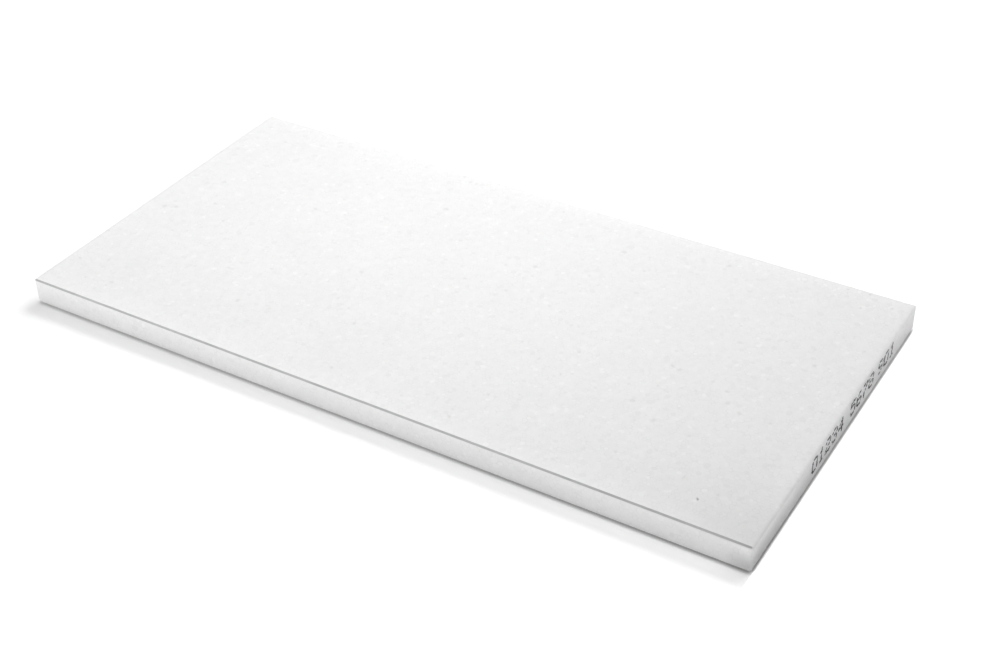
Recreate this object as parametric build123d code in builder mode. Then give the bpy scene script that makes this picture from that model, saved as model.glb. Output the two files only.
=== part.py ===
"""Expanded polystyrene insulation board, 1000 x 500 x 35 mm, lying flat.

The board is one piece of white bead foam, cut from a moulded block by wires that each pass right
through it. So its form is what three straight cuts leave, one along each axis:

- along the length, a hot wire leaves a narrow melted flat at each of the four long arrises;
- across the width, the arrises of the two ends are left slightly round;
- down through the thickness, the four upright corners are left slightly round.

Millimetres. +X runs along the length, +Y across the width and +Z up. The origin is the middle of the
face that the board lies on.
"""

import os

from build123d import *

# Driving dimensions
board_length = 1000.0
board_width = 500.0
board_thickness = 35.0
wire_flat = 1.5  # what the melted flat takes off each of the two faces that it joins
end_arris_radius = 2.5
corner_radius = 3.0

mid_height = board_thickness / 2

with BuildPart() as board:
    # The section across the board, run along its length
    with BuildSketch(Plane.YZ) as cross_section:
        with Locations((0, mid_height)):
            Rectangle(board_width, board_thickness)
        chamfer(cross_section.vertices(), length=wire_flat)
    extrude(amount=board_length / 2, both=True)

    # The section along the board, run across its width
    with BuildSketch(Plane.XZ) as long_section:
        with Locations((0, mid_height)):
            Rectangle(board_length, board_thickness)
        fillet(long_section.vertices(), radius=end_arris_radius)
    extrude(amount=board_width / 2, both=True, mode=Mode.INTERSECT)

    # The outline seen from above, run through its thickness
    with BuildSketch(Plane.XY) as plan:
        Rectangle(board_length, board_width)
        fillet(plan.vertices(), radius=corner_radius)
    extrude(amount=board_thickness, mode=Mode.INTERSECT)

board.part.label = "board"

os.makedirs("parts", exist_ok=True)
export_step(board.part, "parts/board.step")

size = board.part.bounding_box().size
print(f"board: {size.X:.2f} x {size.Y:.2f} x {size.Z:.2f} mm, {board.part.volume / 1e9:.7f} m3")
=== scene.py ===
"""The looks of an expanded polystyrene insulation board: its cut beads, its melted arrises, the plain
numbers jetted on one end and the studio it lies in.

The file is laid out as an add-on and is run as a script. Metres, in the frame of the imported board:
+X runs along the length, +Y across the width and +Z up, from the middle of the underside.
"""

from contextlib import contextmanager
from math import cos, pi, radians, sin

import bpy
import numpy as np
from bpy.props import FloatProperty, FloatVectorProperty, IntProperty, PointerProperty
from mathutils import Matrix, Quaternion, Vector


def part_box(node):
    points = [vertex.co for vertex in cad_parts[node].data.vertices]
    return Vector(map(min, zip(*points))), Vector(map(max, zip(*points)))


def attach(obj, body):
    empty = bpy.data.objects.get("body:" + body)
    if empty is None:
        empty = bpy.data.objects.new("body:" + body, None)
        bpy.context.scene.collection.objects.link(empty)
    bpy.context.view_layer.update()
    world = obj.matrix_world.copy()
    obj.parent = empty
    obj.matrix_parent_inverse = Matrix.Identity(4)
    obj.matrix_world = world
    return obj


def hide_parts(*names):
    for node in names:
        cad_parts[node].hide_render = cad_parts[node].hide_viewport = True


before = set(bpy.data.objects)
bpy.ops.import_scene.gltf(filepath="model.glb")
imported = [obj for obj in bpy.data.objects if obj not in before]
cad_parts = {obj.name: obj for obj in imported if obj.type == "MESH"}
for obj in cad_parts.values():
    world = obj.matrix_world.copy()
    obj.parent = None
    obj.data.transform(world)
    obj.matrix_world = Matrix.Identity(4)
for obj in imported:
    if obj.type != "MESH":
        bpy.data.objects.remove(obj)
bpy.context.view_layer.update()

bl_info = {
    "name": "Bead Foam Board",
    "version": (1, 0, 0),
    "blender": (4, 5, 0),
    "location": "3D View > Sidebar > Foam Board",
    "description": "Dresses a packed insulation board as wire-cut expanded polystyrene",
    "category": "Add Mesh",
}

MM = 0.001
TOUCH = 0.001 * MM  # how far off a face a point that lies on it may be

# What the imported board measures
board_low, board_high = (np.array(corner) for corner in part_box("board"))
length, width, thickness = board_high - board_low
board_points = np.array([point.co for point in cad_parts["board"].data.vertices])
on_top = board_points[board_points[:, 2] > board_high[2] - TOUCH]
on_back = board_points[board_points[:, 1] > board_high[1] - TOUCH]
end_arris_radius = board_high[0] - on_top[:, 0].max()
wire_flat = board_high[1] - on_top[:, 1].max()
corner_radius = board_high[0] - on_back[:, 0].max()
half_plan = np.array([length, width]) / 2

ARRIS_STEPS = 3
SMOOTH_ANGLE = radians(35)
UNDERSIDE_TILE = 50 * MM
MAP_MARGIN = 6 * MM
MERGE_REACH = 0.01 * MM
LOOKS_DOWN = -0.9  # the most that Z is in the normal of a face that looks down

# How the beads lie, as shares of a bead's width
ROW_SHARE = 0.866  # how near rows of close-packed beads lie
STAGGER = 0.25  # how far one row is moved to the right and the next to the left
STRAY = 0.36  # how far a bead's middle may be from its place
BORDER_STRAY = 0.2  # the same along a border
LOST_MOUTH, NICK_MOUTH = 0.88, 0.6  # how much of a torn bead is open
CUP_WALL = 0.1  # how far each step of a cup's wall goes in

# Other shares
BIG_BEADS = 0.14  # of the beads, whose room goes to their neighbours
TORN_AREA = 0.6  # the least area of a torn bead, of the square of a bead's width
CUP_STEPS = (0.65, 0.35)  # of a cup's depth, that its two steps take
VOID_WALL, VOID_DEPTH = 0.12, 0.5  # of a void's width
SEAM_SPREAD = (0.6, 1.4)  # the least and the most of the seam depth, at the points of the seams
TONE_SPREAD, ODD_TONES = 0.1, 0.04  # how far the beads' tones spread, and how many beads stand out

# How the foam looks. A run is the length over which a pattern changes.
LIGHT_REACH = 18 * MM  # how far light goes into the foam
CELL_RUN = 0.7 * MM  # walls of single cells are 0.1 to 0.2 mm apart, drawn coarser so that they show
CELL_RELIEF, CELL_STRENGTH = 0.08 * MM, 0.35
CELL_ROUGHNESS = (0.5, 0.66)
FUSION_RUN = 9 * MM  # beads are fused well in one place and less well in the next
FUSION_RANGE = (0.4, 0.7)  # the noise at which they start to be fused badly and are so all through
FAINT_SEAM = 0.12  # how far a seam shows where its beads are fused well
SEAM_LINE, DRAWN_SEAM_LINE = (0.72, 0.98), (0.1, 0.0)  # where the seam's dark line starts and is full
DRAWN_TONES = (0.2, 0.8)
BATCH_RUN = 60 * MM  # batches of beads differ over a hand's width
BATCH_GAIN = 0.5  # how much of that a bead's tone takes
MELT_REACH = 0.7 * MM  # how far the melted film goes beyond the wire's flats
THIN_FILM = 0.85  # how far the film covers the beads where it is thin
LOWER_FILM = 0.2  # what is left of the film at the foot
NOISE_RANGE = (0.3, 0.7)  # between which nearly all of a noise lies

# How high the foot is painted grey as a contact shadow, and how dark painted shade makes the right end and
# the top. Each is most at the front right corner and falls to a third over the run that its fade gives
# along X and Y.
SIDE_FOOT_HEIGHT, END_FOOT_HEIGHT = 0.8 * MM, 2.6 * MM
FULL_FOOT = 0.3  # share of the foot's height that is grey all through
FOOT_FADE = (550 * MM, 1000 * MM)
END_RUN = 40 * MM  # over which the looks of the front turn into those of the right end
END_SHADE, END_SHADE_HEIGHT, END_SHADE_FADE = 0.42, 32 * MM, (200 * MM, 200 * MM)
END_SHADE_FULL = 4 * MM  # the height below which the end's shade is full
TOP_SHADE, TOP_SHADE_FADE = 0.2, (90 * MM, 90 * MM)
TOP_SHADE_START, TOP_SHADE_FULL = 5 * MM, 1 * MM  # how far below the top its shade starts and is full

# Torn beads that the photo shows, metres from the front left corner of the top. The lost one makes its
# one dark pit.
SEEN_LOST_BEADS = [(0.920, 0.042)]
SEEN_NICKED_BEADS = [(0.804, 0.233), (0.753, 0.019), (0.612, 0.025), (0.937, 0.194), (0.842, 0.323)]

# The dots that an ink jet sets for each digit, one word for each row from the top
DIGIT_DOTS = {
    "0": "01110 10001 10001 10001 10001 10001 01110",
    "1": "00100 01100 00100 00100 00100 00100 01110",
    "2": "01110 10001 00001 00110 01000 10000 11111",
    "3": "01110 10001 00001 00110 00001 10001 01110",
    "4": "00010 00110 01010 10010 11111 00010 00010",
    "5": "11111 10000 11110 00001 00001 10001 01110",
    "6": "00110 01000 10000 11110 10001 10001 01110",
    "7": "11111 00001 00010 00100 01000 01000 01000",
    "8": "01110 10001 10001 01110 10001 10001 01110",
    "9": "01110 10001 10001 01111 00001 00010 01100",
}
DOT_ROWS = 7
DOT_COLUMNS = 6  # five and a gap

# Each group of numbers on the right end, and how far behind the middle of the end it starts
NUMBER_GROUPS = [("01234", -86 * MM), ("5678", 30 * MM), ("901", 120 * MM)]


def srgb(code):
    """The linear colour of a hex code such as EFEFEF."""
    shares = [int(code[i:i + 2], 16) / 255 for i in (0, 2, 4)]
    return tuple(s / 12.92 if s <= 0.04045 else ((s + 0.055) / 1.055) ** 2.4 for s in shares)


def length_property(name, description, default):
    return FloatProperty(
        name=name, description=description, default=default, min=0, precision=5, unit="LENGTH"
    )


def colour_property(name, description, code):
    return FloatVectorProperty(
        name=name, description=description, default=srgb(code), size=3, min=0, max=1, subtype="COLOR"
    )


class FoamBoardSizes(bpy.types.PropertyGroup):
    """Sizes of the beads and of the numbers"""

    bead: length_property("Bead", "Width of a fused bead where the wire cut it", 5.0 * MM)
    seam_depth: length_property("Seam depth", "How far the seam of two beads lies below them", 0.04 * MM)
    bead_drop: length_property("Bead drop", "The most that a bead's middle lies below the cut", 0.03 * MM)
    void: length_property("Void", "Width of an open void where three beads meet", 1.0 * MM)
    void_share: FloatProperty(
        name="Void share", description="Share of the meetings of three beads that are open",
        default=0.03, min=0, max=1, subtype="FACTOR",
    )
    lost_beads: IntProperty(
        name="Lost beads", description="More beads that the wire tore out, in each square metre",
        default=0, min=0,
    )
    lost_bead_depth: length_property("Lost bead depth", "Depth of a lost bead's cup", 1.5 * MM)
    nicked_beads: IntProperty(
        name="Nicked beads", description="Beads that the wire nicked, in each square metre",
        default=200, min=0,
    )
    nick_depth: length_property("Nick depth", "Depth of a nick in a bead", 0.4 * MM)
    number_height: length_property("Number height", "Height of the numbers on the end", 21 * MM)
    number_width: length_property("Number width", "Width of a digit and the gap after it", 19.6 * MM)
    number_rise: length_property("Number rise", "How high the middle of the numbers is", 21.5 * MM)
    ink_film: length_property("Ink film", "Thickness of the ink that the foam holds", 0.15 * MM)
    seed: IntProperty(name="Seed", description="Picks another set of beads", default=7, min=0)


class FoamBoardColours(bpy.types.PropertyGroup):
    """Colours of the foam, the ink and the studio"""

    bead_light: colour_property("Light bead", "A bead whose cells scatter the most light", "F9F9F9")
    bead_dark: colour_property("Dark bead", "A bead that lets some light through", "EFEFEF")
    seam: colour_property("Seam", "The line where two beads are fused", "ECECEC")
    # Painted shade: this grey darkens the voids and the cups of torn beads, more the deeper they go.
    hollow_shade: colour_property("Hollow", "The inside of a void or of a lost bead's cup", "CFCFCF")
    skin: colour_property("Melted skin", "Foam that the hot wire melted to a clear film", "A6A6A6")
    # Painted shade: this grey is the painted contact shadow along the foot, and the painted shade on the
    # right end and the top.
    foot: colour_property("Foot", "Foam at the foot, melted and rubbed grey by the cutter's bed", "646464")
    ink: colour_property("Ink", "Dried black ink, sunk into the foam", "161616")
    floor: colour_property("Floor", "The studio's paper floor", "F2F2F2")


# Points on the board, from a blank with sharp corners

def rounded_plan(blank):
    """Where plan points on the blank's outline lie once its corners are round, and which way is out."""
    inner = np.clip(blank, corner_radius - half_plan, half_plan - corner_radius)
    outward = blank - inner
    outward /= np.linalg.norm(outward, axis=1, keepdims=True)
    return inner + outward * corner_radius, outward


def flat_plan(blank):
    """Where the blank's plan points lie on the flat top, inside the arrises."""
    return blank * (half_plan - (end_arris_radius, wire_flat)) / half_plan


def arris_drop(plan):
    """How far the surface lies below the flat top, at plan points."""
    from_end, from_side = (half_plan - np.abs(plan)).clip(0).T
    across = (end_arris_radius - from_end).clip(0)
    round_drop = end_arris_radius - np.sqrt(end_arris_radius**2 - across**2)
    return np.maximum(round_drop, (wire_flat - from_side).clip(0))


def arris_ring(blank, way):
    """Points of a ring on the arrises. Way is 0 at the edge of the flat top and 1 at the sides."""
    flat, side = flat_plan(blank), rounded_plan(blank)[0]
    plan = flat + (side - flat) * sin(way * pi / 2)
    return np.column_stack([plan, thickness - arris_drop(plan)])


def blank_outline(run):
    """Plan points of the blank's outline, given the run along it from its front left corner."""
    corners = np.array([(-1, -1), (1, -1), (1, 1), (-1, 1), (-1, -1)]) * half_plan
    return np.column_stack([np.interp(run, outline_corner_runs(), corners[:, axis]) for axis in (0, 1)])


def outline_corner_runs():
    return np.cumsum([0, length, width, length, width])


# Mesh data as arrays

def read(items, name, size=1, kind=np.float32):
    values = np.empty(len(items) * size, kind)
    items.foreach_get(name, values)
    return values.reshape(-1, size) if size > 1 else values


def points_of(mesh):
    return read(mesh.vertices, "co", 3).astype(float)


def move_points(mesh, points):
    mesh.vertices.foreach_set("co", np.ravel(points).astype(np.float32))
    mesh.update()


def store(mesh, name, domain, values):
    """Stores a number, or a vector, for each point or face of the mesh."""
    values = np.asarray(values, np.float32)
    kind, field = ("FLOAT", "value") if values.ndim == 1 else ("FLOAT_VECTOR", "vector")
    layer = mesh.attributes.get(name) or mesh.attributes.new(name, kind, domain)
    layer.data.foreach_set(field, values.ravel())


def stored_vectors(mesh, name):
    return read(mesh.attributes[name].data, "vector", 3).astype(float)


def uses_of(mesh, element, count):
    """How many faces use each vertex or edge."""
    return np.bincount(read(mesh.loops, element, kind=np.int32), minlength=count)


def open_edges(mesh):
    return uses_of(mesh, "edge_index", len(mesh.edges)) == 1


# Work in edit mode

def activate(piece):
    bpy.ops.object.select_all(action="DESELECT")
    piece.select_set(True)
    bpy.context.view_layer.objects.active = piece


@contextmanager
def editing(piece, element="FACE", chosen=True):
    """Edit mode on a piece, with the chosen vertices, edges or faces selected."""
    activate(piece)
    kinds = {"VERT": piece.data.vertices, "EDGE": piece.data.edges, "FACE": piece.data.polygons}
    for kind, items in kinds.items():
        picked = np.zeros(len(items), bool)
        if kind == element:
            picked[:] = chosen
        items.foreach_set("select", picked)
    bpy.context.tool_settings.mesh_select_mode = [kind == element for kind in kinds]
    bpy.ops.object.mode_set(mode="EDIT")
    yield
    bpy.ops.object.mode_set(mode="OBJECT")


def name_new(name):
    """Names the object that an operator has just added."""
    piece = bpy.context.object
    piece.name = piece.data.name = name
    return piece


# Settings that several nodes share
SOFT = {"interpolation_type": "SMOOTHSTEP"}
TIMES, PLUS, MINUS, LARGER = (
    {"operation": name} for name in ("MULTIPLY", "ADD", "SUBTRACT", "MAXIMUM")
)
NUMBERS, COLOURS = {"data_type": "FLOAT"}, {"data_type": "RGBA"}


def add_node(tree, kind, settings=None, inputs=()):
    """Adds a node. Its inputs are listed in order, or go by name or number. Each takes a value, an output
    to link, or a node whose first output is linked."""
    node = tree.nodes.new(kind)
    for name, value in (settings or {}).items():
        setattr(node, name, value)
    for name, value in inputs.items() if isinstance(inputs, dict) else enumerate(inputs):
        socket = node.inputs[name]
        if isinstance(value, bpy.types.Node):
            value = value.outputs[0]
        if isinstance(value, bpy.types.NodeSocket):
            tree.links.new(value, socket)
        else:
            socket.default_value = (*value, 1) if socket.type == "RGBA" else value
    return node


def apply_nodes(piece, name, build):
    """Runs a small tree of geometry nodes on the piece and keeps what it makes."""
    tree = bpy.data.node_groups.new(name, "GeometryNodeTree")
    for way in ("INPUT", "OUTPUT"):
        tree.interface.new_socket("Geometry", in_out=way, socket_type="NodeSocketGeometry")
    given = add_node(tree, "NodeGroupInput")
    add_node(tree, "NodeGroupOutput", None, [build(tree, given.outputs[0])])
    activate(piece)
    modifier = piece.modifiers.new(name, "NODES")
    modifier.node_group = tree
    bpy.ops.object.modifier_apply(modifier=modifier.name)
    bpy.data.node_groups.remove(tree)


# A flat sheet of beads

def loosened(steps, draw):
    """Steps along a border, moved a little each, but for the first and the last."""
    uneven = steps.copy()
    uneven[1:-1] += draw.uniform(-BORDER_STRAY, BORDER_STRAY, len(steps) - 2) * np.diff(steps)[1:]
    return uneven


class Sheet:
    """A flat sheet of beads, as the many-sided faces that a cut through fused beads leaves."""

    def __init__(self, name, even, border, draw):
        """Even and border hold the places of the beads' middles along X and Y, inside and on the border."""
        self.draw = draw
        self.size = np.array([steps[-1] for steps in even])
        columns, rows = (len(steps) - 1 for steps in even)
        bpy.ops.mesh.primitive_grid_add(x_subdivisions=columns, y_subdivisions=rows, size=1)
        self.piece = name_new(name)
        grid = points_of(self.piece.data)[:, :2] + 0.5
        column, row = np.rint(grid * (columns, rows)).astype(int).T
        inside = (column > 0) & (column < columns) & (row > 0) & (row < rows)
        stray = draw.uniform(-STRAY, STRAY, (len(grid), 2))
        stagger = np.where(row % 2, STAGGER, -STAGGER)
        x = np.where(inside, self.between(even[0], column + stagger + stray[:, 0]), border[0][column])
        y = np.where(inside, self.between(even[1], row + stray[:, 1]), border[1][row])
        move_points(self.piece.data, np.column_stack([x, y, 0 * x]))
        with editing(self.piece):
            bpy.ops.mesh.quads_convert_to_tris(quad_method="SHORTEST_DIAGONAL")
            bpy.ops.mesh.beautify_fill()
        # Here and there a big bead takes the room of its neighbour
        with editing(self.piece, "VERT", inside & (draw.random(len(grid)) < BIG_BEADS)):
            bpy.ops.mesh.dissolve_verts()
        with editing(self.piece):
            bpy.ops.mesh.quads_convert_to_tris(ngon_method="BEAUTY")
            bpy.ops.mesh.beautify_fill()
        apply_nodes(self.piece, "beads round their middles", self.dual_mesh)
        # The node leaves the marks of what is selected on faces where points should have them
        for layer in [self.mesh.attributes.get(name) for name in (".select_vert", ".select_poly")]:
            if layer:
                self.mesh.attributes.remove(layer)
        self.tone_beads()

    @staticmethod
    def between(steps, place):
        return np.interp(place, np.arange(len(steps)), steps)

    @staticmethod
    def dual_mesh(tree, middles):
        return add_node(tree, "GeometryNodeDualMesh", None, [middles, True])

    @property
    def mesh(self):
        return self.piece.data

    def on_border(self, points, reach=TOUCH):
        return ((points[:, :2] < reach) | (points[:, :2] > self.size - reach)).any(axis=1)

    def face_middles(self):
        return read(self.mesh.polygons, "center", 3)[:, :2]

    def cut_beads(self, sizes):
        self.open_voids(sizes)
        self.sink_seams(sizes)

    def tone_beads(self):
        """Gives each bead how light it is, from 0 to 1: most are near the middle, a few stand out."""
        count = len(self.mesh.polygons)
        tones = 0.5 + TONE_SPREAD * self.draw.standard_normal(count)
        odd = self.draw.random(count) < ODD_TONES
        tones[odd] = self.draw.integers(0, 2, odd.sum())
        store(self.mesh, "tone", "FACE", tones.clip(0, 1))

    def open_cups(self, sizes, number, mouth, depth, seen=()):
        """Leaves a cup where the wire tore a bead: in those that the photo shows, and in a number of
        others in each square metre. The mouth is the share of the bead's width that is open."""
        middles = self.face_middles()
        count = round(number * np.prod(self.size))
        places = [*seen, *self.draw.uniform((0, 0), self.size, (count, 2))]
        nearest = [np.linalg.norm(middles - place, axis=1).argmin() for place in places]
        torn = np.zeros(len(middles), bool)
        torn[nearest] = True
        torn &= ~self.on_border(middles, sizes.bead)
        torn &= read(self.mesh.polygons, "area") > TORN_AREA * sizes.bead**2
        rim, wall = (1 - mouth) / 2 * sizes.bead, CUP_WALL * sizes.bead
        with editing(self.piece, "FACE", torn):
            bpy.ops.mesh.inset(thickness=rim, depth=0, use_individual=True)
            for part in CUP_STEPS:
                bpy.ops.mesh.inset(thickness=wall, depth=-part * depth, use_individual=True)

    def open_voids(self, sizes):
        """Opens a small three-sided void where some of the beads meet."""
        points = points_of(self.mesh)
        meeting = uses_of(self.mesh, "vertex_index", len(points)) == 3
        meeting &= (points[:, 2] > -MERGE_REACH) & ~self.on_border(points, sizes.bead)
        opened = meeting & (self.draw.random(len(points)) < sizes.void_share)
        with editing(self.piece, "VERT", opened):
            bpy.ops.mesh.bevel(affect="VERTICES", offset=sizes.void / 2, segments=1)
        small = read(self.mesh.polygons, "area") < sizes.void**2
        small &= read(self.mesh.polygons, "loop_total", kind=np.int32) == 3
        with editing(self.piece, "FACE", small):
            bpy.ops.mesh.inset(
                thickness=VOID_WALL * sizes.void, depth=-VOID_DEPTH * sizes.void, use_individual=True
            )

    def sink_seams(self, sizes):
        """Gives each bead a middle and lowers the seams between them. The cut itself is at zero."""
        points = points_of(self.mesh)
        alone = uses_of(self.mesh, "vertex_index", len(points)) == 1
        on_seam = ~(self.on_border(points) & alone)
        many_sided = read(self.mesh.polygons, "loop_total", kind=np.int32) > 4
        with editing(self.piece, "FACE", many_sided):
            bpy.ops.mesh.poke()
        points = points_of(self.mesh)
        seam = np.zeros(len(points))
        seam[:len(on_seam)] = on_seam
        # How far down a point lies in a cup or void, which sets how much painted shade it takes
        hollow_shade = (-points[:, 2] / sizes.lost_bead_depth).clip(0, 1)
        lower = np.where(
            seam > 0,
            self.draw.uniform(*SEAM_SPREAD, len(points)) * sizes.seam_depth,
            self.draw.uniform(0, 1, len(points)) * sizes.bead_drop,
        )
        points[:, 2] -= np.where((hollow_shade > 0) | self.on_border(points), 0, lower)
        move_points(self.mesh, points)
        store(self.mesh, "seam", "POINT", seam)
        store(self.mesh, "hollow_shade", "POINT", hollow_shade)

    def refine_corners(self, corners, reach):
        """Halves the edges near the board's corners, so that those can be bent round."""
        ends = read(self.mesh.edges, "vertices", 2, np.int32)
        middles = points_of(self.mesh)[ends][:, :, :2].mean(axis=1)
        near = [(np.abs(middles - corner) < reach).all(axis=1) for corner in corners]
        with editing(self.piece, "EDGE", np.any(near, axis=0)):
            bpy.ops.mesh.subdivide(number_cuts=1)


# The board

def bead_board(sizes):
    """Builds the board as one closed mesh: a top of beads, a band of beads round its sides, the arrises
    between them and a plain underside."""
    draw = np.random.default_rng(sizes.seed)
    along = np.linspace(0, length, round(length / sizes.bead) + 1)
    across = np.linspace(0, width, round(width / sizes.bead / ROW_SHARE) + 1)
    loose_along, loose_across = loosened(along, draw), loosened(across, draw)
    board = bead_top((along, across), (loose_along, loose_across), sizes, draw)
    band = bead_band(
        round_the_outline(along, across), round_the_outline(loose_along, loose_across), sizes, draw
    )
    activate(board)
    band.select_set(True)
    bpy.ops.object.join()
    merge(board)
    with editing(board):
        bpy.ops.mesh.normals_make_consistent(inside=False)
    mark_underside(board)
    lay_out_map(board)
    activate(board)
    bpy.ops.object.shade_smooth_by_angle(angle=SMOOTH_ANGLE)
    return board


def bead_top(even, border, sizes, draw):
    """The flat top with the arrises round it."""
    top = Sheet("bead_foam_board", even, border, draw)
    top.open_cups(sizes, sizes.lost_beads, LOST_MOUTH, sizes.lost_bead_depth, SEEN_LOST_BEADS)
    top.open_cups(sizes, sizes.nicked_beads, NICK_MOUTH, sizes.nick_depth, SEEN_NICKED_BEADS)
    top.cut_beads(sizes)
    corners = np.array([(0, 0), (1, 0), (1, 1), (0, 1)]) * (length, width)
    top.refine_corners(corners, corner_radius)
    flat = points_of(top.mesh)
    blank = flat[:, :2] - half_plan
    keep_blank(top.mesh, blank)
    move_points(top.mesh, np.column_stack([flat_plan(blank), thickness + flat[:, 2]]))
    add_rings(top.piece, np.linspace(0, 1, ARRIS_STEPS + 1)[1:], upside_down=False)
    return top.piece


def bead_band(even_run, border_run, sizes, draw):
    """The sides, bent round the board's outline, with the lower arrises and the underside."""
    height = thickness - 2 * wire_flat
    upright = np.linspace(0, height, round(height / sizes.bead / ROW_SHARE) + 1)
    band = Sheet("band", (even_run, upright), (border_run, loosened(upright, draw)), draw)
    band.cut_beads(sizes)
    corners = [(run, height / 2) for run in outline_corner_runs()]
    band.refine_corners(corners, (corner_radius, height))
    run, rise, relief = points_of(band.mesh).T
    blank = blank_outline(run)
    plan, outward = rounded_plan(blank)
    low = arris_drop(plan)
    upward = low + rise / height * (thickness - 2 * low)
    keep_blank(band.mesh, blank)
    move_points(band.mesh, np.column_stack([plan + outward * relief[:, None], upward]))
    merge(band.piece)
    add_rings(band.piece, np.linspace(1, 0, ARRIS_STEPS + 1)[1:], upside_down=True)
    close_underside(band.piece)
    return band.piece


def keep_blank(mesh, blank):
    """Stores where the points lie on the blank, so that the rings know it."""
    store(mesh, "blank", "POINT", np.column_stack([blank, np.zeros(len(blank))]))


def round_the_outline(along, across):
    """Joins the steps of the front, the right end, the back and the left end into one run."""
    runs = outline_corner_runs()
    sides = [along, across, length - along[::-1], width - across[::-1]]
    return np.concatenate([[0], *(run + side[1:] for run, side in zip(runs, sides))])


def merge(board):
    with editing(board):
        bpy.ops.mesh.remove_doubles(threshold=MERGE_REACH)


def low_or_high_border(mesh, low):
    """True for the open edges in the lower half of the board, or in the upper half."""
    ends = read(mesh.edges, "vertices", 2, np.int32)
    heights = points_of(mesh)[ends][:, :, 2].mean(axis=1)
    return open_edges(mesh) & ((heights < thickness / 2) == low)


def add_rings(piece, ways, upside_down):
    """Extrudes the open border over the arrises, one ring at a time."""
    for way in ways:
        with editing(piece, "EDGE", low_or_high_border(piece.data, upside_down)):
            bpy.ops.mesh.extrude_region()
        mesh = piece.data
        ring = read(mesh.vertices, "select", kind=bool)
        points = points_of(mesh)
        points[ring] = arris_ring(stored_vectors(mesh, "blank")[ring, :2], way)
        if upside_down:
            points[ring, 2] = thickness - points[ring, 2]
        move_points(mesh, points)


def close_underside(piece):
    """Lays plain tiles on the underside and fills the strip between them and the arrises."""
    tiles = np.rint(2 * half_plan / UNDERSIDE_TILE).astype(int) - 1
    bpy.ops.mesh.primitive_grid_add(x_subdivisions=tiles[0], y_subdivisions=tiles[1], size=1)
    floor = name_new("underside")
    move_points(floor.data, points_of(floor.data) * (*(tiles * UNDERSIDE_TILE), 0))
    activate(piece)
    floor.select_set(True)
    bpy.ops.object.join()
    with editing(piece, "EDGE", low_or_high_border(piece.data, True)):
        bpy.ops.mesh.fill()


def mark_underside(board):
    """Marks the plain faces of the underside, whose beads the material draws."""
    mesh = board.data
    heights, upward = (read(mesh.polygons, name, 3)[:, 2] for name in ("center", "normal"))
    store(mesh, "under", "FACE", (heights < MERGE_REACH) & (upward < LOOKS_DOWN))


def lay_out_map(board):
    """Lays the six sides out flat on one map at the same scale, so that a bake keeps the beads even."""
    mesh = board.data
    centre = read(mesh.polygons, "center", 3)
    gaps = np.column_stack([
        thickness - centre[:, 2], centre[:, 2], half_plan[1] + centre[:, 1], half_plan[1] - centre[:, 1],
        half_plan[0] + centre[:, 0], half_plan[0] - centre[:, 0],
    ])
    side = gaps.argmin(axis=1)
    rows = np.cumsum([0, width, width, thickness, thickness]) + MAP_MARGIN * np.arange(1, 6)
    # For each side: the axes that run across and up the map, and where the side's low corner goes
    places = [
        (0, 1, MAP_MARGIN, rows[0]), (0, 1, MAP_MARGIN, rows[1]), (0, 2, MAP_MARGIN, rows[2]),
        (0, 2, MAP_MARGIN, rows[3]), (1, 2, MAP_MARGIN, rows[4]), (1, 2, width + 2 * MAP_MARGIN, rows[4]),
    ]
    extent = rows[4] + thickness + MAP_MARGIN
    loops = read(mesh.loops, "vertex_index", kind=np.int32)
    loop_side = np.repeat(side, read(mesh.polygons, "loop_total", kind=np.int32))
    points = points_of(mesh)[loops] - board_low
    spots = np.zeros((len(loops), 2))
    for number, (u_axis, v_axis, u_start, v_start) in enumerate(places):
        here = loop_side == number
        spots[here] = points[here][:, (u_axis, v_axis)] + (u_start, v_start)
    layer = mesh.uv_layers.new(name="OFBake")
    layer.uv.foreach_set("vector", (spots / extent).astype(np.float32).ravel())


# The foam

def empty_material(name):
    """A material without nodes, and its tree."""
    material = bpy.data.materials.new(name)
    material.use_nodes = True
    material.node_tree.nodes.clear()
    return material, material.node_tree


def finish(piece, material):
    piece.data.materials.clear()
    piece.data.materials.append(material)


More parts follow.
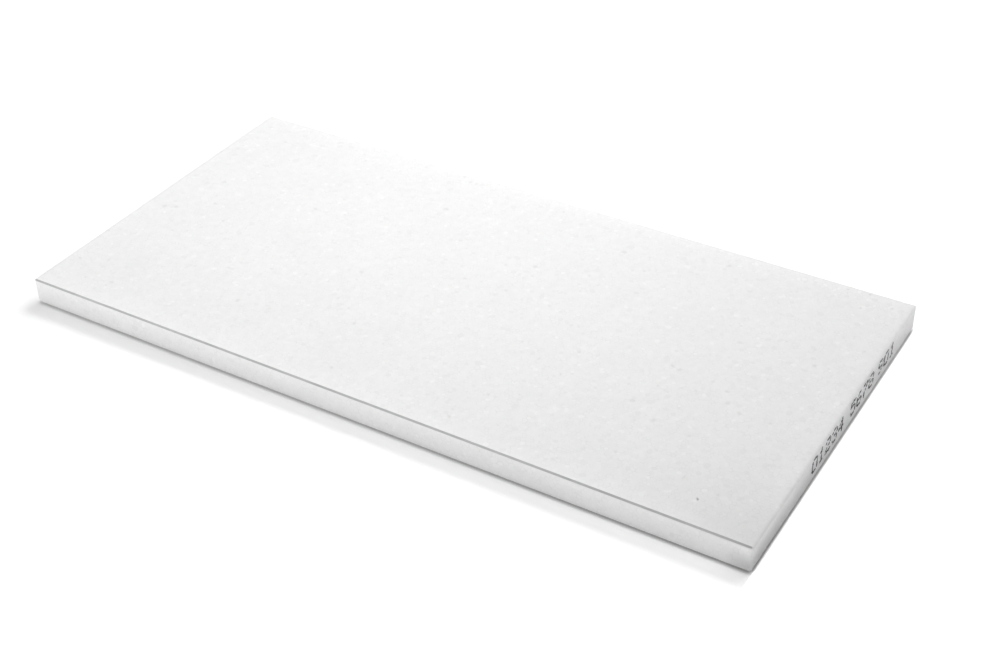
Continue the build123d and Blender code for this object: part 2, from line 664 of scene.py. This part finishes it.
def fused_bead_foam(sizes, colours):
    """Expanded polystyrene, steam-moulded and cut by a hot wire. It is matte white, each bead scatters
    the light a little differently, and a fine darker line shows where two beads are fused."""
    material, tree = empty_material("fused_bead_foam")
    place = add_node(tree, "ShaderNodeTexCoord").outputs["Object"]
    tone, seam, hollow_shade, under = (
        add_node(tree, "ShaderNodeAttribute", {"attribute_name": name}).outputs["Fac"]
        for name in ("tone", "seam", "hollow_shade", "under")
    )
    batch = add_node(
        tree, "ShaderNodeTexNoise", None, {"Vector": place, "Scale": 1 / BATCH_RUN, "Detail": 2.0}
    )
    drawn_line = drawn_seams(tree, place, sizes)
    layers = [
        (bead_lightness(tree, place, tone, under, batch, sizes), colours.bead_light),
        (seam_share(tree, place, seam, drawn_line, under), colours.seam),
        # Painted shade in the voids and cups
        (hollow_shade, colours.hollow_shade),
        (film_share(tree, place, batch), colours.skin),
        # Painted shade low on the right end and on the top near the front right corner
        (painted_shade_share(tree, place), colours.foot),
        # Painted contact shadow along the foot of every side
        (painted_foot_shadow(tree, place, under), colours.foot),
    ]
    finished = colours.bead_dark
    for share, colour in layers:
        finished = add_node(tree, "ShaderNodeMix", COLOURS, {0: share, 6: finished, 7: colour}).outputs[2]
    cells = add_node(
        tree, "ShaderNodeTexNoise", None,
        {"Vector": place, "Scale": 1 / CELL_RUN, "Detail": 2.0, "Roughness": 0.6},
    )
    shader = add_node(
        tree, "ShaderNodeBsdfPrincipled", None,
        {
            "Base Color": finished, "IOR": 1.59, "Specular IOR Level": 0.35,
            "Roughness": add_node(tree, "ShaderNodeMapRange", None, [cells, *NOISE_RANGE, *CELL_ROUGHNESS]),
            "Normal": cell_relief(tree, cells, drawn_line),
            # Light goes one or two centimetres into the foam, so arrises and cups look soft
            "Subsurface Weight": 1.0, "Subsurface Radius": (1, 1, 1), "Subsurface Scale": LIGHT_REACH,
        },
    )
    add_node(tree, "ShaderNodeOutputMaterial", None, {"Surface": shader})
    return material


def drawn_seams(tree, place, sizes):
    """The dark lines between beads that are drawn on the plain underside."""
    seams = add_node(
        tree, "ShaderNodeTexVoronoi", {"feature": "DISTANCE_TO_EDGE"},
        {"Vector": place, "Scale": 1 / sizes.bead},
    )
    return add_node(tree, "ShaderNodeMapRange", SOFT, [seams.outputs["Distance"], *DRAWN_SEAM_LINE])


def bead_lightness(tree, place, tone, under, batch, sizes):
    """How light a bead is: its own tone, or that of a drawn bead on the underside, with a share of what
    its batch is lighter or darker than the middle."""
    drawn = add_node(
        tree, "ShaderNodeTexVoronoi", {"feature": "F1"}, {"Vector": place, "Scale": 1 / sizes.bead}
    )
    drawn_tone = add_node(tree, "ShaderNodeMapRange", None, [drawn.outputs["Color"], 0, 1, *DRAWN_TONES])
    bead = add_node(tree, "ShaderNodeMix", NUMBERS, {0: under, 2: tone, 3: drawn_tone})
    lightness = add_node(tree, "ShaderNodeMath", {"operation": "MULTIPLY_ADD"}, [batch, BATCH_GAIN, bead])
    return add_node(
        tree, "ShaderNodeMath", {"operation": "SUBTRACT", "use_clamp": True}, [lightness, BATCH_GAIN / 2]
    )


def seam_share(tree, place, seam, drawn_line, under):
    """How far a seam shows. Where the beads are fused well it is faint."""
    cut_line = add_node(tree, "ShaderNodeMapRange", SOFT, [seam, *SEAM_LINE])
    line = add_node(tree, "ShaderNodeMix", NUMBERS, {0: under, 2: cut_line, 3: drawn_line})
    fusion = add_node(
        tree, "ShaderNodeTexNoise", None, {"Vector": place, "Scale": 1 / FUSION_RUN, "Detail": 1.0}
    )
    poor_fusion = add_node(tree, "ShaderNodeMapRange", SOFT, [fusion, *FUSION_RANGE, FAINT_SEAM, 1])
    return add_node(tree, "ShaderNodeMath", TIMES, [line, poor_fusion])


def film_share(tree, place, batch):
    """How far the foam is melted: over the wire's flats on the long arrises and a little beyond them. The
    film is uneven, so the beads show through it here and there, and it is rubbed away on the lower ones."""
    apart = add_node(tree, "ShaderNodeSeparateXYZ", None, [place])
    across, up = apart.outputs["Y"], apart.outputs["Z"]
    middle = add_node(tree, "ShaderNodeMath", MINUS, [up, thickness / 2])
    off_side = distance_inside(tree, across, half_plan[1])
    off_face = distance_inside(tree, middle, thickness / 2)
    off_both = add_node(tree, "ShaderNodeMath", PLUS, [off_side, off_face])
    melted = add_node(tree, "ShaderNodeMapRange", SOFT, [off_both, wire_flat + MELT_REACH, wire_flat])
    left = add_node(tree, "ShaderNodeMapRange", SOFT, [up, 0, thickness, LOWER_FILM, 1])
    film = add_node(tree, "ShaderNodeMapRange", None, [batch, *NOISE_RANGE, THIN_FILM, 1])
    covered = add_node(tree, "ShaderNodeMath", TIMES, [film, melted])
    return add_node(tree, "ShaderNodeMath", TIMES, [covered, left])


def distance_inside(tree, value, half):
    """How far a coordinate is inside a limit on both sides of zero."""
    size = add_node(tree, "ShaderNodeMath", {"operation": "ABSOLUTE"}, [value])
    return add_node(tree, "ShaderNodeMath", MINUS, [half, size])


def painted_foot_shadow(tree, place, under):
    """How far the foot of every side is painted grey as a contact shadow. The underside itself stays bare.
    """
    apart = add_node(tree, "ShaderNodeSeparateXYZ", None, [place])
    height = add_node(
        tree, "ShaderNodeMapRange", SOFT,
        [apart.outputs["X"], half_plan[0] - END_RUN, half_plan[0], SIDE_FOOT_HEIGHT, END_FOOT_HEIGHT],
    )
    level = add_node(tree, "ShaderNodeMath", {"operation": "DIVIDE"}, [apart.outputs["Z"], height])
    low = add_node(tree, "ShaderNodeMapRange", SOFT, [level, 1, FULL_FOOT])
    beside = add_node(tree, "ShaderNodeMath", MINUS, [1, under])
    foot_shadow = corner_fade(tree, place, FOOT_FADE)
    for factor in (low, beside):
        foot_shadow = add_node(tree, "ShaderNodeMath", TIMES, [foot_shadow, factor])
    return foot_shadow


def painted_shade_share(tree, place):
    """How far the foam is painted darker as shade, low on the right end and on top of its front corner."""
    apart = add_node(tree, "ShaderNodeSeparateXYZ", None, [place])
    along, up = apart.outputs["X"], apart.outputs["Z"]
    at_end, low, high = (
        add_node(tree, "ShaderNodeMapRange", SOFT, inputs)
        for inputs in (
            [along, half_plan[0] - END_RUN, half_plan[0]],
            [up, END_SHADE_HEIGHT, END_SHADE_FULL],
            [up, thickness - TOP_SHADE_START, thickness - TOP_SHADE_FULL],
        )
    )
    end = corner_fade(tree, place, END_SHADE_FADE)
    for factor in (low, at_end, END_SHADE):
        end = add_node(tree, "ShaderNodeMath", TIMES, [end, factor])
    top = corner_fade(tree, place, TOP_SHADE_FADE)
    for factor in (high, TOP_SHADE):
        top = add_node(tree, "ShaderNodeMath", TIMES, [top, factor])
    return add_node(tree, "ShaderNodeMath", PLUS, [end, top])


def corner_fade(tree, place, reach):
    """1 at the front right corner, falling to a third over the reach along X and along Y."""
    away = add_node(tree, "ShaderNodeVectorMath", MINUS, [place, (half_plan[0], -half_plan[1], 0)])
    share = add_node(tree, "ShaderNodeVectorMath", TIMES, [away, (1 / reach[0], 1 / reach[1], 0)])
    run = add_node(tree, "ShaderNodeVectorMath", {"operation": "LENGTH"}, [share])
    return add_node(tree, "ShaderNodeMath", {"operation": "POWER"}, [1 / 3, run.outputs["Value"]])


def cell_relief(tree, cells, drawn_line):
    """The normal of a face that is rough with cells, and sunk at the drawn seams."""
    relief = add_node(tree, "ShaderNodeMath", {"operation": "MULTIPLY_ADD"}, [drawn_line, -1, cells])
    return add_node(
        tree, "ShaderNodeBump", None,
        {"Height": relief, "Strength": CELL_STRENGTH, "Distance": CELL_RELIEF},
    )


# The numbers on the right end

DOT_STRAY = 0.07  # how far a dot may be off its place, as a share of the distance between dots
DOT_RADIUS = 0.7  # as a share of that distance
DOT_SIDES = 12
DOT_SPREAD = (0.75, 1.1)  # the least and the most that a dot is scaled by
DOT_RIM = 0.12  # how far a dot's soft rim goes in, as a share of that distance
SUNK_SHARE = 0.25  # how far a dot's middle lies in the foam, as a share of the ink's thickness
RIM_SHARE = 0.1  # how low its rim is, as a share of that thickness
FRONT_SHARE = 0.4  # beyond which only its front lies, as a share of that thickness
INK_RUN = 5 * MM  # over which the foam drinks more or less ink
THIN_INK = (0.55, 0.67)  # the noise at which the ink gets thin and is thinnest
THINNEST_INK = 0.95  # how far the foam shows there


def dot_grid(text, start, sizes, draw):
    """Points on the right end where the jets set the dots of one group of digits."""
    pitch = np.array([sizes.number_width / DOT_COLUMNS, sizes.number_height / DOT_ROWS])
    columns = DOT_COLUMNS * len(text) - 1
    bpy.ops.mesh.primitive_grid_add(x_subdivisions=columns, y_subdivisions=DOT_ROWS - 1, size=1)
    piece = name_new("dots")
    grid = points_of(piece.data)[:, :2] + 0.5
    column, row = np.rint(grid * (columns, DOT_ROWS - 1)).astype(int).T
    blank_dots = []
    for at, up in zip(column, row):
        digit, across = divmod(at, DOT_COLUMNS)
        words = DIGIT_DOTS[text[digit]].split()
        blank_dots.append((words[DOT_ROWS - 1 - up] + "0")[across] == "0")
    stray = draw.normal(0, DOT_STRAY, (len(grid), 2))
    along = start + (column + stray[:, 0]) * pitch[0]
    up = sizes.number_rise + (row - (DOT_ROWS - 1) / 2 + stray[:, 1]) * pitch[1]
    outward = np.full(len(grid), half_plan[0] - SUNK_SHARE * sizes.ink_film)
    move_points(piece.data, np.column_stack([outward, along, up]))
    with editing(piece, "VERT", blank_dots):
        bpy.ops.mesh.delete(type="VERT")
    return piece


def ink_dot(sizes):
    """One dot of ink, as a low round cake with a soft rim."""
    pitch = sizes.number_height / DOT_ROWS
    bpy.ops.mesh.primitive_cylinder_add(
        vertices=DOT_SIDES, radius=DOT_RADIUS * pitch, depth=sizes.ink_film, rotation=(0, pi / 2, 0)
    )
    dot = name_new("ink_dot")
    bpy.ops.object.transform_apply(location=False, rotation=True, scale=False)
    front = read(dot.data.polygons, "center", 3)[:, 0] > FRONT_SHARE * sizes.ink_film
    with editing(dot, "FACE", front):
        bpy.ops.mesh.inset(thickness=DOT_RIM * pitch, depth=RIM_SHARE * sizes.ink_film)
    return dot


def jet_numbers(sizes):
    """Sets a dot of ink on every point of the groups of numbers."""
    draw = np.random.default_rng(sizes.seed + 1)
    dot = ink_dot(sizes)
    groups = [dot_grid(text, start, sizes, draw) for text, start in NUMBER_GROUPS]
    activate(groups[0])
    for group in groups[1:]:
        group.select_set(True)
    bpy.ops.object.join()
    numbers = name_new("end_numbers")

    def dots_on_points(tree, points):
        source = add_node(tree, "GeometryNodeObjectInfo", None, {"Object": dot})
        spread = add_node(
            tree, "FunctionNodeRandomValue", NUMBERS,
            {2: DOT_SPREAD[0], 3: DOT_SPREAD[1], "Seed": sizes.seed},
        )
        placed = add_node(
            tree, "GeometryNodeInstanceOnPoints", None,
            {"Points": points, "Instance": source.outputs["Geometry"], "Scale": spread.outputs[1]},
        )
        return add_node(tree, "GeometryNodeRealizeInstances", None, [placed])

    apply_nodes(numbers, "dots on points", dots_on_points)
    bpy.data.objects.remove(dot)
    activate(numbers)
    bpy.ops.object.shade_smooth_by_angle(angle=SMOOTH_ANGLE)
    return numbers


def jetted_ink(colours):
    """Dried jet ink on foam. It is dull and near black, and thin where the foam drank it."""
    material, tree = empty_material("jetted_ink")
    place = add_node(tree, "ShaderNodeTexCoord").outputs["Object"]
    patches = add_node(
        tree, "ShaderNodeTexNoise", None, {"Vector": place, "Scale": 1 / INK_RUN, "Detail": 3.0}
    )
    thin = add_node(tree, "ShaderNodeMapRange", None, [patches, *THIN_INK, 0, THINNEST_INK])
    colour = add_node(tree, "ShaderNodeMix", COLOURS, {0: thin, 6: colours.ink, 7: colours.bead_dark})
    shader = add_node(
        tree, "ShaderNodeBsdfPrincipled", None,
        {"Base Color": colour.outputs[2], "Roughness": 0.7, "IOR": 1.5},
    )
    add_node(tree, "ShaderNodeOutputMaterial", None, {"Surface": shader})
    return material


# The studio

CAMERA_AZIMUTH = radians(31.44)
CAMERA_ELEVATION = radians(36.01)
CAMERA_ROLL = radians(-1.06)
CAMERA_DISTANCE = 2.057
CAMERA_AIM = Vector((0.0565, -0.0151, 0))
CAMERA_LENS = 59.12  # millimetres, on a sensor 36 mm wide

FLOOR_SIZE = 12  # metres
FLOOR_GAP = 2.2 * MM  # the board bows a little, so it barely touches the paper
DOME = 0.296  # how strongly the white room lights the board

# How light the paper is painted where a ray shows it, so that it turns white round the shadow. This painted
# light is lighter at the right than at the left of the board, lighter still beyond the right end, and
# lighter far away.
LEFT_PAPER, RIGHT_PAPER = 1.10, 1.50
RIGHT_GAIN = 1.9
FAR_GAIN = 1.5  # with each metre away from the board
# Painted shadow: the paper's shown colour darkens in the crease under the board's edge.
CREASE_REACH = 5 * MM  # how far from the board the paper darkens in the crease under its edge
CREASE_LOSS = 0.9  # how much of its light the paper loses at the bottom of the crease
CREASE_FADE = (1.8, 1.8)  # metres along X and Y, over which that falls to a third
RIGHT_STEP, CREASE_STEP = 3 * MM, 2 * MM  # over which the gain starts and the crease ends at the right

# Each lamp: its name, where it stands, what it is turned to, its width and depth, how far its light
# spreads in degrees, and its watts
LAMPS = [
    ("back_high", (0.5, 2.4, 2.4), (0, 0, 0), (3.4, 2.6), 180, 43.2),
    ("front_left", (-1.2, -3.0, 1.5), (0, 0, 0), (2.1, 1.2), 180, 44.8),
    ("left_overhead", (-0.5, 0.2, 1.0), (-0.4, 0, 0), (0.8, 0.8), 180, 1.9),
    ("back_pool", (-0.1, 0.8, 1.5), (-0.14, 0.06, 0), (0.8, 0.5), 80, 1.5),
]


def set_up_camera():
    away = Vector((
        sin(CAMERA_AZIMUTH) * cos(CAMERA_ELEVATION),
        -cos(CAMERA_AZIMUTH) * cos(CAMERA_ELEVATION),
        sin(CAMERA_ELEVATION),
    ))
    turn = (-away).to_track_quat("-Z", "Y") @ Quaternion((0, 0, 1), CAMERA_ROLL)
    bpy.ops.object.camera_add(location=CAMERA_AIM + away * CAMERA_DISTANCE, rotation=turn.to_euler())
    camera = bpy.context.object
    camera.name = "camera"
    camera.data.lens = CAMERA_LENS
    bpy.context.scene.camera = camera


def set_up_lamps():
    for name, place, target, (wide, deep), spread, watts in LAMPS:
        turn = (Vector(target) - Vector(place)).to_track_quat("-Z", "Y")
        bpy.ops.object.light_add(type="AREA", location=place, rotation=turn.to_euler())
        lamp = bpy.context.object
        lamp.name = name
        lamp.data.shape = "RECTANGLE"
        lamp.data.size, lamp.data.size_y = wide, deep
        lamp.data.spread = radians(spread)
        lamp.data.energy = watts


def seen_ray(tree):
    """1 for the rays that show a background: those of the camera, of gloss and of glass."""
    rays = add_node(tree, "ShaderNodeLightPath")
    shown = rays.outputs["Is Camera Ray"]
    for name in ("Is Glossy Ray", "Is Transmission Ray"):
        shown = add_node(tree, "ShaderNodeMath", LARGER, [shown, rays.outputs[name]])
    return shown


def set_up_world():
    world = bpy.data.worlds.new("white studio")
    world.use_nodes = True
    tree = world.node_tree
    tree.nodes.clear()
    strength = add_node(tree, "ShaderNodeMath", LARGER, [seen_ray(tree), DOME])
    light = add_node(tree, "ShaderNodeBackground", None, {"Color": (1, 1, 1), "Strength": strength})
    add_node(tree, "ShaderNodeOutputWorld", None, {"Surface": light})
    bpy.context.scene.world = world


def studio_paper(colours):
    """White background paper. It is matte, and where a ray shows the background it is lit up to white,
    so that only the board's shadow stays."""
    material, tree = empty_material("studio_paper")
    paper = add_node(
        tree, "ShaderNodeMix", COLOURS, {0: seen_ray(tree), 6: colours.floor, 7: shown_paper(tree)}
    )
    shader = add_node(tree, "ShaderNodeBsdfDiffuse", None, {"Color": paper.outputs[2]})
    add_node(tree, "ShaderNodeOutputMaterial", None, {"Surface": shader})
    return material


def shown_paper(tree):
    """How light the paper is painted where a ray shows it: painted light, less the painted crease shadow.
    """
    place = add_node(tree, "ShaderNodeTexCoord").outputs["Object"]
    along = add_node(tree, "ShaderNodeSeparateXYZ", None, [place]).outputs["X"]
    slope = add_node(
        tree, "ShaderNodeMapRange", None,
        [along, -half_plan[0], half_plan[0], LEFT_PAPER, RIGHT_PAPER],
    )
    beyond_right = add_node(
        tree, "ShaderNodeMapRange", SOFT, [along, half_plan[0], half_plan[0] + RIGHT_STEP, 1, RIGHT_GAIN]
    )
    far = add_node(
        tree, "ShaderNodeMath", {"operation": "MULTIPLY_ADD"}, [off_board(tree, place), FAR_GAIN, 1]
    )
    kept = add_node(tree, "ShaderNodeMath", MINUS, [1, painted_crease_shadow(tree, place, along)])
    shown = slope
    for factor in (beyond_right, far, kept):
        shown = add_node(tree, "ShaderNodeMath", TIMES, [shown, factor])
    return shown


def off_board(tree, place):
    """How far a place on the paper is from the board."""
    size = add_node(tree, "ShaderNodeVectorMath", {"operation": "ABSOLUTE"}, [place])
    off = add_node(tree, "ShaderNodeVectorMath", MINUS, [size, (*half_plan, 0)])
    outside = add_node(tree, "ShaderNodeVectorMath", LARGER, [off])
    return add_node(tree, "ShaderNodeVectorMath", {"operation": "LENGTH"}, [outside]).outputs["Value"]


def painted_crease_shadow(tree, place, along):
    """How much the paper is painted darker in the crease under the board's edge, as a contact shadow."""
    openness = add_node(
        tree, "ShaderNodeAmbientOcclusion", {"samples": 8}, {"Distance": CREASE_REACH}
    )
    depth = add_node(tree, "ShaderNodeMath", MINUS, [1, openness.outputs["AO"]])
    in_front = add_node(
        tree, "ShaderNodeMapRange", SOFT, [along, half_plan[0], half_plan[0] + CREASE_STEP, 1, 0]
    )
    lost = corner_fade(tree, place, CREASE_FADE)
    for factor in (depth, in_front, CREASE_LOSS):
        lost = add_node(tree, "ShaderNodeMath", TIMES, [lost, factor])
    return lost


class FOAMBOARD_OT_board(bpy.types.Operator):
    """Build the board's beads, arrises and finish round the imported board"""

    bl_idname = "foamboard.board"
    bl_label = "Bead Foam Board"

    def execute(self, context):
        board = bead_board(context.scene.foam_board_sizes)
        finish(board, fused_bead_foam(context.scene.foam_board_sizes, context.scene.foam_board_colours))
        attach(board, "root")
        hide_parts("board")
        return {"FINISHED"}


class FOAMBOARD_OT_numbers(bpy.types.Operator):
    """Jet plain running numbers on the right end"""

    bl_idname = "foamboard.numbers"
    bl_label = "End Numbers"

    def execute(self, context):
        numbers = jet_numbers(context.scene.foam_board_sizes)
        finish(numbers, jetted_ink(context.scene.foam_board_colours))
        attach(numbers, "root")
        return {"FINISHED"}


class FOAMBOARD_OT_studio(bpy.types.Operator):
    """Set up the floor, the soft lamps and the camera"""

    bl_idname = "foamboard.studio"
    bl_label = "Studio"

    def execute(self, context):
        bpy.ops.mesh.primitive_plane_add(size=FLOOR_SIZE, location=(0, 0, -FLOOR_GAP))
        floor = name_new("floor")
        finish(floor, studio_paper(context.scene.foam_board_colours))
        set_up_camera()
        set_up_lamps()
        set_up_world()
        context.scene.view_settings.view_transform = "Standard"
        return {"FINISHED"}


class FOAMBOARD_PT_panel(bpy.types.Panel):
    """Lists the board's pieces, sizes and colours"""

    bl_idname = "FOAMBOARD_PT_panel"
    bl_label = "Foam Board"
    bl_space_type = "VIEW_3D"
    bl_region_type = "UI"
    bl_category = "Foam Board"

    def draw(self, context):
        for operator in OPERATORS:
            self.layout.operator(operator.bl_idname)
        for group in (context.scene.foam_board_sizes, context.scene.foam_board_colours):
            box = self.layout.box()
            for name in group.__annotations__:
                box.prop(group, name)


OPERATORS = (FOAMBOARD_OT_board, FOAMBOARD_OT_numbers, FOAMBOARD_OT_studio)
CLASSES = (FoamBoardSizes, FoamBoardColours, *OPERATORS, FOAMBOARD_PT_panel)


def register():
    for each in CLASSES:
        bpy.utils.register_class(each)
    bpy.types.Scene.foam_board_sizes = PointerProperty(type=FoamBoardSizes)
    bpy.types.Scene.foam_board_colours = PointerProperty(type=FoamBoardColours)


def unregister():
    del bpy.types.Scene.foam_board_colours
    del bpy.types.Scene.foam_board_sizes
    for each in reversed(CLASSES):
        bpy.utils.unregister_class(each)


def main():
    register()
    bpy.ops.foamboard.board()
    bpy.ops.foamboard.numbers()
    bpy.ops.foamboard.studio()


if __name__ == "__main__":
    main()
